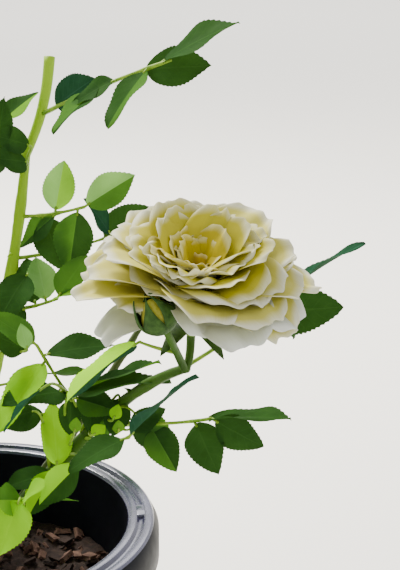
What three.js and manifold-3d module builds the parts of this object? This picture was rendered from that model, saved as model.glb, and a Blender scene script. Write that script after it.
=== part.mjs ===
// Potted rose bush: a black plastic pot of compost, canes rising from a short crown, one large
// double bloom with a bud beside it, a pruned cane, and sprays of compound leaves on all sides.
// Millimetres, +Z up. The origin is the centre of the pot's flat underside.
import * as THREE from 'three';
import { mergeVertices } from 'three/addons/utils/BufferGeometryUtils.js';
import Module from 'manifold-3d';

const wasm = await Module();
wasm.setup();

// Driving sizes
const clearance = 0.3;
const smoothing = 0.2;
const pot = {
  height: 135,
  rimRadius: 80,
  footRadius: 56,
  wall: 2.4,
  floor: 3,
  flange: 11,
  skirtDrop: 17,
  skirtFlare: 2,
  groove: 3.4,
  grooveDepth: 1.6,
  edge: 0.9,
  soilDrop: 28,
  segments: 36,
  tabs: 4,
  tabTurn: 7,
  tabWidth: 10,
  holeTurn: -6,
  holeRadius: 2,
};
const crown = { radius: 12, height: 17, rootShare: 0.45, segments: 12 };
const cane = { footRadius: 3.6, tipRadius: 2, sides: 5, steps: 6 };
const bloom = {
  seat: [96, -74, 241.5],
  axis: [0.08, -0.27, 0.95],
  hipRadius: 4.2,
  hipHeight: 7,
  coreRadius: 19,
  coreHeight: 25,
  segments: 12,
  petalThickness: 1.5,
  petalCorners: [0.3, 0.85, 1, 0.7, 0.2],
  petalFold: 0.16,
};
const bud = { seat: [88, -95, 250], axis: [-0.4, -0.28, 0.87], radius: 6.3, length: 14, segments: 8 };
const leaflet = {
  width: 0.62,
  thickness: 1,
  fold: 0.16,
  droop: 0.12,
  rootSink: 1.6,
  sixCorners: [0.1, 0.72, 1, 0.1],
  fourCorners: [0.1, 1, 0.1],
};
const rachis = { radius: 0.95, taper: 0.7, sag: 0.06 };
const spray = {
  stemRadius: 1.5,
  taper: 0.6,
  arch: 3,
  firstLeaf: 0.22,
  leafTurn: 137.5,
  turnPlay: 40,
  leafLean: 62,
  leanPlay: 12,
  lastLean: 15,
  firstSeed: 1000,
  seedStep: 77,
};
const foliage = {
  radius: 128,
  middle: 205,
  height: 112,
  openSideX: 14,
  openSideLean: -0.14,
  pockets: [
    { min: [64, 18, 206], max: [134, 90, 244] },
    { min: [28, 18, 148], max: [68, 90, 178] },
  ],
};

const soilTop = pot.height - pot.soilDrop;
const crownSeat = soilTop + clearance;
const caneRoot = [0, 0, crownSeat + crown.rootShare * crown.height];
const fork = [94, -78, 230];
const below = ({ seat, axis }, drop) => seat.map((value, i) => value - drop * axis[i]);

// Limbs: a tapering rod along a curve from its foot through two pulls to its tip
const limbs = [
  { name: 'bloom_cane', points: [caneRoot, [34, -14, 150], [62, -34, 205], [94.5, -78.5, 231]],
    radii: [3.6, 1.6] },
  { name: 'cut_cane', points: [caneRoot, [8, 6, 170], [27, 2, 238], [32, 6, 288]], radii: [3.4, 1.8] },
  { name: 'cut_cane_top', points: [[32, 6, 287], [36, 8, 296], [40, 11, 305], [41, 17, 323]],
    radii: [1.8, 2.2] },
  { name: 'bloom_stalk', points: [fork, [96, -78, 234], below(bloom, 4), below(bloom, clearance)],
    radii: [1.4, 1.5] },
  { name: 'bud_stalk', points: [fork, [91.5, -82, 237], below(bud, 4), below(bud, clearance)],
    radii: [1.4, 1.2] },
  { name: 'left_front_cane', points: [caneRoot, [-25, -20, 142], [-46, -36, 176], [-58, -50, 205]] },
  { name: 'left_cane', points: [caneRoot, [-28, 2, 142], [-50, 8, 186], [-62, 6, 226]] },
  { name: 'back_left_cane', points: [caneRoot, [-18, 22, 142], [-32, 42, 192], [-38, 52, 242]] },
  { name: 'back_cane', points: [caneRoot, [2, 26, 146], [2, 50, 186], [-6, 62, 226]] },
  { name: 'back_right_cane', points: [caneRoot, [32, 4, 145], [54, 14, 180], [78, 42, 212]],
    radii: [3, 1.2], old: true },
  { name: 'front_cane', points: [caneRoot, [-2, -28, 140], [-8, -50, 166], [-18, -64, 192]] },
  { name: 'centre_cane', points: [caneRoot, [-8, 3, 160], [-18, -4, 212], [-14, -8, 264]] },
];

// Leaves seen one by one. Each has a rachis from a limb to its tip, the way its face looks, and
// leaflets as [place along it, spread, lift, roll, length], with angles in degrees
const shownLeaves = [
  { name: 'lower_right_leaf', limb: 'bloom_cane', at: 0.66, tip: [103, -77, 212], face: [0, -0.75, 0.66],
    leaflets: [[0.45, -50, -25, -25, 20], [0.85, -50, -10, -25, 22], [0.95, 12, -10, -50, 32],
      [1, -20, -40, 20, 20]] },
  { name: 'edge_on_leaf', limb: 'bloom_cane', at: 0.58, tip: [75, -86, 209], face: [0, -0.4, 0.9],
    leaflets: [[1, 50, 30, 0, 33], [0.97, -87, -3, -30, 23]] },
  { name: 'upper_left_leaf', limb: 'bloom_cane', at: 0.62, tip: [41, -53, 230], face: [0.3, -0.7, 0.6],
    leaflets: [[0.9, -110, 40, -80, 26], [0.4, -70, 50, -140, 38], [0.85, 90, 0, 95, 31],
      [0.5, 45, 0, 70, 29], [1, 5, -30, 20, 20]] },
  { name: 'low_front_leaf', limb: 'bloom_cane', at: 0.36, tip: [46, -48, 180], face: [0, -0.6, 0.8],
    leaflets: [[1, 70, 50, 130, 25], [0.95, -80, -15, -65, 20], [0.85, -70, 25, -60, 20]] },
  { name: 'low_left_leaf', limb: 'bloom_cane', at: 0.3, tip: [35, -69, 178], face: [0, -0.6, 0.8],
    leaflets: [[1, -35, -45, -40, 24], [0.85, 25, 15, 45, 20], [0.9, -20, 5, -85, 20],
      [0.5, 70, 0, 0, 22]] },
  { name: 'mid_left_leaf', limb: 'cut_cane', at: 0.62, tip: [45, -20, 237], face: [0, -0.7, 0.7],
    leaflets: [[0.45, -90, 35, -60, 20], [0.8, 107, 30, 50, 20], [1, 65, 5, 35, 20],
      [0.95, 5, 10, -35, 16], [0.6, 115, 20, 40, 24]] },
  { name: 'behind_bloom_leaf', limb: 'cut_cane', at: 0.74, tip: [64, 8, 254], face: [0, -0.7, 0.7],
    leaflets: [[1, 115, 60, -10, 20], [0.9, 22, 5, 15, 24]] },
  { name: 'mid_right_leaf', limb: 'cut_cane', at: 0.84, tip: [55, -5, 269], face: [0, -0.8, 0.6],
    leaflets: [[0.35, -70, -15, -20, 23], [0.55, 75, 15, 25, 21], [0.6, -145, 5, 10, 20],
      [1, 25, 5, 15, 23], [0.9, -105, -15, -25, 25]] },
  { name: 'top_right_leaf', limb: 'cut_cane_top', at: 0.5, tip: [89, -38, 329], face: [0, -0.5, 0.86],
    sag: -0.03,
    leaflets: [[0.12, 5, 12, 50, 24], [0.5, -110, 5, -5, 26], [0.62, -150, 10, -15, 20],
      [0.84, -105, -5, -5, 27], [0.8, 15, -20, 40, 25], [0.92, 20, 5, 4, 33]] },
  { name: 'far_left_leaf', limb: 'cut_cane', at: 0.97, tip: [14, -14, 296], face: [0, -0.7, 0.7],
    leaflets: [[0.5, -60, 40, -100, 22], [0.5, 50, -10, 50, 22], [1, -60, -10, -30, 22],
      [1, 20, -15, 20, 24]] },
  { name: 'far_left_top_leaf', limb: 'cut_cane_top', at: 0.15, tip: [14, 2, 305], face: [0, -0.7, 0.7],
    leaflets: [[0.6, -105, 30, -60, 20], [1, -20, 0, 0, 22], [0.95, -60, 15, -40, 20]] },
  { name: 'right_of_bloom_leaf', limb: 'bloom_cane', at: 0.97, tip: [131, -37, 245], face: [0, -0.3, 0.95],
    leaflets: [[0.75, -52, 10, 40, 29], [1, -32, 37, -35, 33], [0.7, -10, -40, -5, 24]] },
  { name: 'bud_bract_leaf', limb: 'bud_stalk', at: 0.4, tip: [79, -86, 243], face: [0, -0.5, 0.86],
    leaflets: [[1, 30, -45, 75, 32]] },
];

// Sprays that fill the rest of the crown, with leaves turned round each by a seeded rule. Each has
// its limb, its place on it, its heading and rise in degrees, its length and its number of leaves
const sprays = [
  ['centre_tip_spray', 'centre_cane', 1, 230, 75, 32, 4],
  ['left_tip_spray', 'left_cane', 1, 180, 60, 34, 4],
  ['left_front_tip_spray', 'left_front_cane', 1, 215, 45, 32, 4],
  ['back_left_tip_spray', 'back_left_cane', 1, 150, 62, 34, 4],
  ['back_tip_spray', 'back_cane', 1, 100, 75, 34, 4],
  ['front_tip_spray', 'front_cane', 1, 258, 40, 30, 4],
  ['back_right_tip_spray', 'back_right_cane', 1, 50, 12, 26, 4],
  ['centre_left_spray', 'centre_cane', 0.82, 205, 30, 32, 4],
  ['centre_back_spray', 'centre_cane', 0.7, 90, 35, 32, 3],
  ['left_front_side_spray', 'left_front_cane', 0.8, 180, 20, 30, 3],
  ['left_side_spray', 'left_cane', 0.78, 140, 25, 30, 3],
  ['left_low_spray', 'left_cane', 0.58, 190, 0, 34, 3],
  ['left_front_low_spray', 'left_front_cane', 0.6, 235, 0, 32, 3],
  ['front_low_spray', 'front_cane', 0.58, 280, 0, 30, 3],
  ['back_left_low_spray', 'back_left_cane', 0.5, 135, 5, 34, 3],
  ['back_low_spray', 'back_cane', 0.55, 95, 5, 32, 3],
  ['back_right_low_spray', 'back_right_cane', 0.55, 60, -10, 30, 3],
].map(([name, limb, at, heading, rise, length, leaves]) => (
  { name, limb, at, heading, rise, length, leaves }));
const sprayLeaf = {
  rachis: 32,
  pairs: [0.4, 0.78],
  spread: 58,
  spreadPlay: 10,
  lift: -14,
  liftPlay: 16,
  endLift: -8,
  roll: 12,
  leaflet: 28,
  outwardFace: 0.9,
};

// Rings of petals from the outside in: how many, the turn of the first and the rise in degrees
const petalRings = [
  { count: 8, turn: 32, reach: 42, width: 35, rise: 18, root: 14, droop: 0.13 },
  { count: 7, turn: 4, reach: 39, width: 34, rise: 28, root: 14, droop: 0.1 },
  { count: 5, turn: 20, reach: 37, width: 34, rise: 42, root: 14, droop: 0.06 },
  { count: 4, turn: 45, reach: 32, width: 31, rise: 57, root: 14, droop: 0.03 },
];

// Colours, roughness and metalness
const finishes = {
  pot: { color: '#141518', roughness: 0.28, metalness: 0 },
  soil: { color: '#2c1a14', roughness: 0.95, metalness: 0 },
  oldCane: { color: '#6d6a45', roughness: 0.7, metalness: 0 },
  greenCane: { color: '#8fae3c', roughness: 0.5, metalness: 0 },
  leaf: { color: '#3f7a1c', roughness: 0.45, metalness: 0 },
  petal: { color: '#f4e9b0', roughness: 0.6, metalness: 0 },
  sepal: { color: '#3c5a28', roughness: 0.6, metalness: 0 },
};

const radians = THREE.MathUtils.degToRad;
const worldUp = new THREE.Vector3(0, 0, 1);
const vector = (point) => new THREE.Vector3(...point);
const cross = (a, b) => new THREE.Vector3().crossVectors(a, b);
const mix = (a, b, share) => a + (b - a) * share;

// A seeded dice: the same numbers from 0 to 1 on every run
function makeDice(seed) {
  const modulus = 2147483647;
  let state = seed;
  return () => {
    state = (state * 16807) % modulus;
    return state / modulus;
  };
}

// The way that a heading and a rise in degrees point
function aim(heading, rise) {
  const level = Math.cos(radians(rise));
  return new THREE.Vector3(
    level * Math.cos(radians(heading)),
    level * Math.sin(radians(heading)),
    Math.sin(radians(rise)),
  );
}

// A closed geometry whose corners are moved by a rule, as a solid
function solidFrom(geometry, place) {
  geometry.deleteAttribute('normal');
  geometry.deleteAttribute('uv');
  const merged = mergeVertices(geometry, 1e-4);
  const corners = merged.attributes.position;
  const corner = new THREE.Vector3();
  for (let i = 0; i < corners.count; i += 1) {
    const moved = place(corner.fromBufferAttribute(corners, i));
    corners.setXYZ(i, moved.x, moved.y, moved.z);
  }
  const triangles = [];
  for (let i = 0; i < merged.index.count; i += 3) {
    const [a, b, c] = [0, 1, 2].map((step) => merged.index.getX(i + step));
    if (a !== b && b !== c && a !== c) {
      triangles.push(a, b, c);
    }
  }
  return new wasm.Manifold(new wasm.Mesh({
    numProp: 3,
    vertProperties: new Float32Array(corners.array),
    triVerts: new Uint32Array(triangles),
  }));
}

// A profile of [radius, height] pairs turned round the Z axis
function turned(profile, segments) {
  const points = profile.map(([radius, height]) => new THREE.Vector2(radius, height));
  const lathe = new THREE.LatheGeometry(points, segments);
  return solidFrom(lathe, (corner) => new THREE.Vector3(corner.x, -corner.z, corner.y));
}

// A rod along a curve, tapering from its first radius to its last
function bentRod(curve, radii, sides, steps) {
  const chord = curve.getPoint(1).sub(curve.getPoint(0));
  const upright = Math.hypot(chord.x, chord.y) < 1;
  const across = cross(chord, upright ? vector([0, 1, 0]) : worldUp).normalize();
  const rod = new THREE.CylinderGeometry(1, 1, 1, sides, steps);
  return solidFrom(rod, (corner) => {
    const share = corner.y + 0.5;
    const tangent = curve.getTangent(share);
    const side = across.clone().addScaledVector(tangent, -across.dot(tangent)).normalize();
    const radius = mix(radii[0], radii[1], share);
    return curve.getPoint(share)
      .addScaledVector(side, corner.x * radius)
      .addScaledVector(cross(side, tangent), corner.z * radius);
  });
}

// A thin plate with a pointed outline: it is thickest near its middle, its tip droops and its
// two halves fold up from the midrib
function plate(root, along, face, shape) {
  const thickestAt = 0.45;
  const rows = shape.corners.length - 1;
  const side = cross(along, face).normalize();
  const top = cross(side, along).normalize();
  const start = root.clone().addScaledVector(along, -shape.sink);
  const span = shape.length + shape.sink;
  const widest = Math.max(...shape.corners);
  const disc = new THREE.SphereGeometry(1, 2 * rows, 2);
  return solidFrom(disc, (corner) => {
    const onRim = Math.abs(corner.y) < 0.5;
    const turn = Math.acos(THREE.MathUtils.clamp(corner.x, -1, 1)) / Math.PI;
    const taper = shape.corners[Math.round(turn * rows)] / widest;
    const reach = span * (onRim ? 0.5 + 0.5 * corner.x : thickestAt);
    const sideways = onRim ? 0.5 * Math.sign(corner.z) * shape.width * taper : 0;
    const bend = shape.fold * Math.abs(sideways) - shape.droop * span * (reach / span) ** 2;
    return start.clone()
      .addScaledVector(along, reach)
      .addScaledVector(side, sideways)
      .addScaledVector(top, bend + 0.5 * shape.thickness * corner.y);
  });
}

// Solids that are in place, with the box round each, so that later ones keep clear of them
const inPlace = [];

function keep(solid, owner) {
  inPlace.push({ solid, box: solid.boundingBox(), owner });
}

function isFree(solid, ignored) {
  const reach = 1.25 * clearance;
  const { min, max } = solid.boundingBox();
  return inPlace.every((item) => {
    const apart = [0, 1, 2].some((axis) => min[axis] > item.box.max[axis] + reach
      || max[axis] < item.box.min[axis] - reach);
    return apart || ignored.includes(item.owner) || solid.minGap(item.solid, 2 * reach) > reach;
  });
}

// The one body that holds most of a solid, with scraps and sealed hollows left out
function mainBody(solid) {
  return solid.decompose().reduce((best, piece) => (piece.volume() > best.volume() ? piece : best));
}

const bush = new THREE.Group();
bush.name = 'rose_bush';

function addNode(name, solid, finish, parent = bush) {
  const made = mainBody(solid.simplify(smoothing)).getMesh();
  const corners = new Float32Array(made.vertProperties);
  const geometry = new THREE.BufferGeometry();
  geometry.setAttribute('position', new THREE.BufferAttribute(corners, 3));
  geometry.setIndex(new THREE.BufferAttribute(new Uint32Array(made.triVerts), 1));
  geometry.computeVertexNormals();
  const mesh = new THREE.Mesh(geometry, new THREE.MeshStandardMaterial(finish));
  mesh.name = name;
  parent.add(mesh);
}

// Pot: a tapering wall under a flange with a groove between two ridges and a skirt round it.
// Flat tabs cross the groove, with a small hole beside each
const innerFoot = pot.footRadius - pot.wall;
const innerRim = pot.rimRadius - pot.flange;
const innerRadius = (height) => mix(innerFoot, innerRim, height / pot.height);

function potProfile() {
  const skirt = pot.rimRadius + pot.skirtFlare;
  const skirtTop = pot.height - 5;
  const ridge = 0.5 * (pot.flange - pot.groove);
  const under = skirtTop - pot.wall;
  return [
    [0, 0],
    [pot.footRadius - pot.edge, 0],
    [pot.footRadius, pot.edge],
    [innerRadius(under) + pot.wall, under],
    [skirt - pot.wall, under],
    [skirt - pot.wall, pot.height - pot.skirtDrop],
    [skirt, pot.height - pot.skirtDrop],
    [skirt, skirtTop],
    [pot.rimRadius, pot.height - pot.edge],
    [pot.rimRadius - pot.edge, pot.height],
    [pot.rimRadius - ridge, pot.height],
    [pot.rimRadius - ridge - pot.edge, pot.height - pot.grooveDepth],
    [innerRim + ridge + pot.edge, pot.height - pot.grooveDepth],
    [innerRim + ridge, pot.height],
    [innerRim + pot.edge, pot.height],
    [innerRim, pot.height - pot.edge],
    [innerRadius(pot.floor + 2), pot.floor + 2],
    [innerRadius(pot.floor) - 2, pot.floor],
    [0, pot.floor],
  ];
}

function withTabs(solid) {
  const ring = 0.5 * (innerRim + pot.rimRadius);
  const depth = 2 * pot.grooveDepth;
  let finished = solid;
  for (let i = 0; i < pot.tabs; i += 1) {
    const spot = (turn, height) => aim(turn + (360 / pot.tabs) * i, 0).multiplyScalar(ring).setZ(height);
    const middle = spot(pot.tabTurn, pot.height - 0.5 * depth - 0.2);
    const across = middle.clone().setZ(0).normalize();
    const along = cross(worldUp, across);
    const block = new THREE.BoxGeometry(pot.groove + 2 * pot.edge, pot.tabWidth, depth);
    const tab = solidFrom(block, (corner) => middle.clone()
      .addScaledVector(across, corner.x)
      .addScaledVector(along, corner.y)
      .addScaledVector(worldUp, corner.z));
    const drillFoot = spot(pot.holeTurn, pot.height - 15);
    const drill = new THREE.LineCurve3(drillFoot, spot(pot.holeTurn, pot.height + 5));
    const bore = bentRod(drill, [pot.holeRadius, pot.holeRadius], 12, 1);
    finished = finished.add(tab).subtract(bore);
  }
  return finished;
}

function soilProfile() {
  const base = pot.floor + clearance;
  const edge = soilTop - 2;
  return [
    [0, base],
    [innerRadius(base) - 2.5 - clearance, base],
    [innerRadius(base + 3) - clearance - 0.1, base + 3],
    [innerRadius(edge) - clearance - 0.1, edge],
    [0.7 * innerRim, soilTop - 0.6],
    [crown.radius + 3, soilTop],
    [0, soilTop],
  ];
}

function crownProfile(grow) {
  const { radius, height } = crown;
  return [
    [0, crownSeat - grow],
    [0.85 * radius + grow, crownSeat - grow],
    [radius + grow, crownSeat + 0.3 * height],
    [0.85 * radius + grow, crownSeat + 0.65 * height],
    [0.5 * radius + grow, crownSeat + height],
    [0, crownSeat + height + grow],
  ];
}

const planter = new THREE.Group();
planter.name = 'planter';
bush.add(planter);
const potSolid = withTabs(turned(potProfile(), pot.segments));
const soilSolid = turned(soilProfile(), pot.segments);
const crownSolid = turned(crownProfile(0), crown.segments);
addNode('pot', potSolid, finishes.pot, planter);
addNode('soil', soilSolid, finishes.soil, planter);
addNode('rose_crown', crownSolid, finishes.oldCane);
keep(potSolid, 'pot');
keep(soilSolid, 'soil');
keep(crownSolid, 'rose_crown');

// Limbs, each cut back where it comes within the clearance of one before it
const limbCurves = {};
const limbSpaces = { rose_crown: turned(crownProfile(1.5 * clearance), crown.segments) };

for (const limb of limbs) {
  const curve = new THREE.CubicBezierCurve3(...limb.points.map(vector));
  const radii = limb.radii ?? [cane.footRadius, cane.tipRadius];
  const grown = radii.map((radius) => radius + 1.3 * clearance);
  let solid = bentRod(curve, radii, cane.sides, cane.steps);
  for (const space of Object.values(limbSpaces)) {
    solid = solid.subtract(space);
  }
  solid = mainBody(solid);
  const beyond = curve.getPoint(1).addScaledVector(curve.getTangent(1), clearance);
  const tipCap = new THREE.LineCurve3(curve.getPoint(0.98), beyond);
  limbCurves[limb.name] = curve;
  limbSpaces[limb.name] = bentRod(curve, grown, cane.sides, cane.steps)
    .add(bentRod(tipCap, [grown[1], grown[1]], cane.sides, 1));
  addNode(limb.name, solid, limb.radii && !limb.old ? finishes.greenCane : finishes.oldCane);
  keep(solid, limb.name);
}

// The bloom: rings of petals round a core that stands on the hip. The bud stands beside it
function placed(solid, seat, axis) {
  const lean = new THREE.Quaternion().setFromUnitVectors(worldUp, vector(axis).normalize());
  const matrix = new THREE.Matrix4().makeRotationFromQuaternion(lean).setPosition(vector(seat));
  return solid.transform(matrix.elements);
}

function bloomSolid() {
  const { hipRadius, hipHeight, coreRadius, coreHeight } = bloom;
  const core = turned([
    [0, 0],
    [0.5 * hipRadius, 0],
    [hipRadius, 0.5 * hipHeight],
    [hipRadius, hipHeight],
    [0.8 * coreRadius, hipHeight + 7],
    [coreRadius, hipHeight + 13],
    [0.5 * coreRadius, coreHeight],
    [0, coreHeight - 2],
  ], bloom.segments);
  const petals = petalRings.flatMap((ring) => Array.from({ length: ring.count }, (_, i) => {
    const heading = ring.turn + (360 / ring.count) * i;
    const along = aim(heading, ring.rise);
    const face = aim(heading + 180, 90 - ring.rise);
    return plate(new THREE.Vector3(0, 0, ring.root), along, face, {
      length: ring.reach,
      width: ring.width,
      thickness: bloom.petalThickness,
      corners: bloom.petalCorners,
      fold: bloom.petalFold,
      droop: ring.droop,
      sink: 0,
    });
  }));
  return mainBody(wasm.Manifold.union([core, ...petals]));
}

function budSolid(grow) {
  const { length, segments } = bud;
  const radius = bud.radius + grow;
  return turned([
    [0, -grow],
    [0.55 * radius, 0.06 * length - grow],
    [0.7 * radius, 0.2 * length],
    [radius, 0.42 * length],
    [0.85 * radius, 0.65 * length],
    [0.35 * radius, 0.88 * length + grow],
    [0, length + 2 * grow],
  ], segments);
}

const budInPlace = placed(budSolid(0), bud.seat, bud.axis);
const budSpace = placed(budSolid(2 * clearance), bud.seat, bud.axis);
const bloomInPlace = mainBody(placed(bloomSolid(), bloom.seat, bloom.axis)
  .subtract(budSpace)
  .subtract(limbSpaces.bud_stalk));
addNode('bloom', bloomInPlace, finishes.petal);
addNode('bud', budInPlace, finishes.sepal);
keep(bloomInPlace, 'bloom');
keep(budInPlace, 'bud');

// A compound leaf: leaflets on a rachis that sags a little between its two ends
function compoundLeaf({ start, tip, face, leaflets, owner, stem, sag = rachis.sag, corners }) {
  const chord = tip.clone().sub(start);
  const middle = start.clone().add(tip).multiplyScalar(0.5);
  middle.z -= sag * chord.length();
  const curve = new THREE.QuadraticBezierCurve3(start, middle, tip);
  const forward = chord.clone().normalize();
  const side = cross(face, forward).normalize();
  const top = cross(forward, side);
  let stalk = bentRod(curve, [rachis.radius, rachis.taper * rachis.radius], 3, stem.space ? 3 : 1);
  if (stem.space) {
    stalk = mainBody(stalk.subtract(stem.space));
  }
  if (!isFree(stalk, [stem.name])) {
    return [];
  }
  const blades = [];
  for (const [at, spread, lift, roll, length] of leaflets) {
    const along = forward.clone().multiplyScalar(Math.cos(radians(spread)))
      .addScaledVector(side, Math.sin(radians(spread)))
      .multiplyScalar(Math.cos(radians(lift)))
      .addScaledVector(top, Math.sin(radians(lift)));
    const up = top.clone().addScaledVector(along, -top.dot(along)).normalize();
    up.applyAxisAngle(along, radians(roll));
    const blade = plate(curve.getPoint(at), along, up, {
      length,
      width: leaflet.width * length,
      thickness: leaflet.thickness,
      corners,
      fold: leaflet.fold,
      droop: leaflet.droop,
      sink: leaflet.rootSink,
    });
    const free = isFree(blade, stem.space ? [] : [stem.name]);
    if (free && stem.accepts(along.clone().multiplyScalar(length).add(curve.getPoint(at)))) {
      blades.push(blade);
    }
  }
  for (const piece of [stalk, ...blades]) {
    keep(piece, owner);
  }
  return blades.length ? [stalk, ...blades] : [];
}

for (const leaf of shownLeaves) {
  const pieces = compoundLeaf({
    start: limbCurves[leaf.limb].getPoint(leaf.at),
    tip: vector(leaf.tip),
    face: vector(leaf.face),
    leaflets: leaf.leaflets,
    owner: leaf.name,
    stem: { name: leaf.limb, space: limbSpaces[leaf.limb], accepts: () => true },
    sag: leaf.sag,
    corners: leaflet.sixCorners,
  });
  addNode(leaf.name, wasm.Manifold.union(pieces), finishes.leaf);
}

// Leaf tips stay inside a dome round the crown and off its open side
function inFoliage(point) {
  const level = Math.hypot(point.x, point.y) / foliage.radius;
  const rise = (point.z - foliage.middle) / foliage.height;
  const besideOpening = point.x < foliage.openSideX + foliage.openSideLean * point.y;
  const inPocket = foliage.pockets.some(({ min, max }) => point.toArray()
    .every((value, axis) => value > min[axis] && value < max[axis]));
  return Math.hypot(level, rise) < 1 && (besideOpening || inPocket);
}

sprays.forEach((plan, number) => {
  const dice = makeDice(spray.firstSeed + spray.seedStep * number);
  const limb = limbCurves[plan.limb];
  const start = limb.getPoint(plan.at);
  const heading = aim(plan.heading, plan.rise);
  const tip = start.clone().addScaledVector(heading, plan.length);
  const middle = start.clone()
    .addScaledVector(heading, 0.5 * plan.length)
    .addScaledVector(worldUp, spray.arch);
  const curve = new THREE.QuadraticBezierCurve3(start, middle, tip);
  const stemRadii = [spray.stemRadius, spray.taper * spray.stemRadius];
  const stem = mainBody(bentRod(curve, stemRadii, 3, 3).subtract(limbSpaces[plan.limb]));
  if (!isFree(stem, [plan.limb])) {
    return;
  }
  const across = cross(heading, worldUp).normalize();
  const over = cross(across, heading);
  const pieces = [stem];
  for (let i = 0; i < plan.leaves; i += 1) {
    const last = i === plan.leaves - 1;
    const at = mix(spray.firstLeaf, 1, i / (plan.leaves - 1));
    const turn = radians(spray.leafTurn * i + spray.turnPlay * dice());
    const lean = radians(last ? spray.lastLean : spray.leafLean + spray.leanPlay * dice());
    const outward = across.clone()
      .multiplyScalar(Math.cos(turn))
      .addScaledVector(over, Math.sin(turn));
    const forward = heading.clone()
      .multiplyScalar(Math.cos(lean))
      .addScaledVector(outward, Math.sin(lean));
    const reach = sprayLeaf.rachis * (0.85 + 0.3 * dice());
    const root = curve.getPoint(at);
    const end = root.clone().addScaledVector(forward, reach);
    const outside = new THREE.Vector3(end.x, end.y, 0).normalize();
    const tilt = sprayLeaf.outwardFace * (0.6 + 0.8 * dice());
    const pairs = sprayLeaf.pairs.flatMap((place) => [1, -1].map((hand) => [
      place,
      hand * (sprayLeaf.spread + sprayLeaf.spreadPlay * dice()),
      sprayLeaf.lift + sprayLeaf.liftPlay * dice(),
      hand * sprayLeaf.roll,
      sprayLeaf.leaflet * (0.8 + 0.2 * place) * (0.85 + 0.25 * dice()),
    ]));
    const endSpread = sprayLeaf.spreadPlay * (2 * dice() - 1);
    const endLength = sprayLeaf.leaflet * (1 + 0.2 * dice());
    pieces.push(...compoundLeaf({
      start: root,
      tip: end,
      face: worldUp.clone().addScaledVector(outside, tilt),
      leaflets: [...pairs, [1, endSpread, sprayLeaf.endLift, 0, endLength]],
      owner: `${plan.name} ${i}`,
      stem: { name: plan.name, accepts: inFoliage },
      corners: leaflet.fourCorners,
    }));
  }
  keep(stem, plan.name);
  addNode(plan.name, wasm.Manifold.union(pieces), finishes.leaf);
});

export default bush;
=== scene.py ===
import math

import bmesh
import bpy
from mathutils import Matrix, Vector, noise
from mathutils.bvhtree import BVHTree


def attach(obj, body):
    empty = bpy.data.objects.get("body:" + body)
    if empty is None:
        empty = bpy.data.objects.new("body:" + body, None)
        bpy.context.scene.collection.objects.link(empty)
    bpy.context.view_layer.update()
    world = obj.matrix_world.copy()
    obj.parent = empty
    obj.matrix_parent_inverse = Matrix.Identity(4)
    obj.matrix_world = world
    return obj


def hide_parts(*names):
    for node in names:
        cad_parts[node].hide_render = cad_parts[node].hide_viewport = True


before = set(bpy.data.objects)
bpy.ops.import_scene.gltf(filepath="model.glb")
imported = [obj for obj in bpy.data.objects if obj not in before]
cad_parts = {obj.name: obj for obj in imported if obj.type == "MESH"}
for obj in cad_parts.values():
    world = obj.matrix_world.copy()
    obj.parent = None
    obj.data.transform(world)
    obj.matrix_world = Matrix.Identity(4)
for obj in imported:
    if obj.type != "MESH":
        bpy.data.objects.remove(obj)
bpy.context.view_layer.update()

mm = 0.001
worldUp = Vector((0, 0, 1))

# Camera: where the photo was taken from, in metres, and how many degrees it looks down
view = {"place": (0.099, -0.506, 0.391), "pitch": 17, "lens": 85.26, "sensor": 36, "clip": 0.01}


def addObject(name, data):
    made = bpy.data.objects.new(name, data)
    bpy.context.collection.objects.link(made)
    return made


def makeCamera():
    data = bpy.data.cameras.new("camera")
    data.lens = view["lens"]
    data.sensor_width = view["sensor"]
    data.clip_start = view["clip"]
    camera = addObject("camera", data)
    camera.location = view["place"]
    camera.rotation_euler = (math.radians(90 - view["pitch"]), 0, 0)
    bpy.context.scene.camera = camera


makeCamera()
print("camera placed")


# Shader maths: a signal is an output socket that takes part in sums
class Signal:
    def __init__(self, paint, socket):
        self.paint = paint
        self.socket = socket

    def maths(self, operation, other=0):
        return self.paint.node("ShaderNodeMath", {0: self, 1: other}, operation=operation)

    def __add__(self, other):
        return self.maths("ADD", other)

    def __sub__(self, other):
        return self.maths("SUBTRACT", other)

    def __mul__(self, other):
        return self.maths("MULTIPLY", other)

    def __abs__(self):
        return self.maths("ABSOLUTE")


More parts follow.
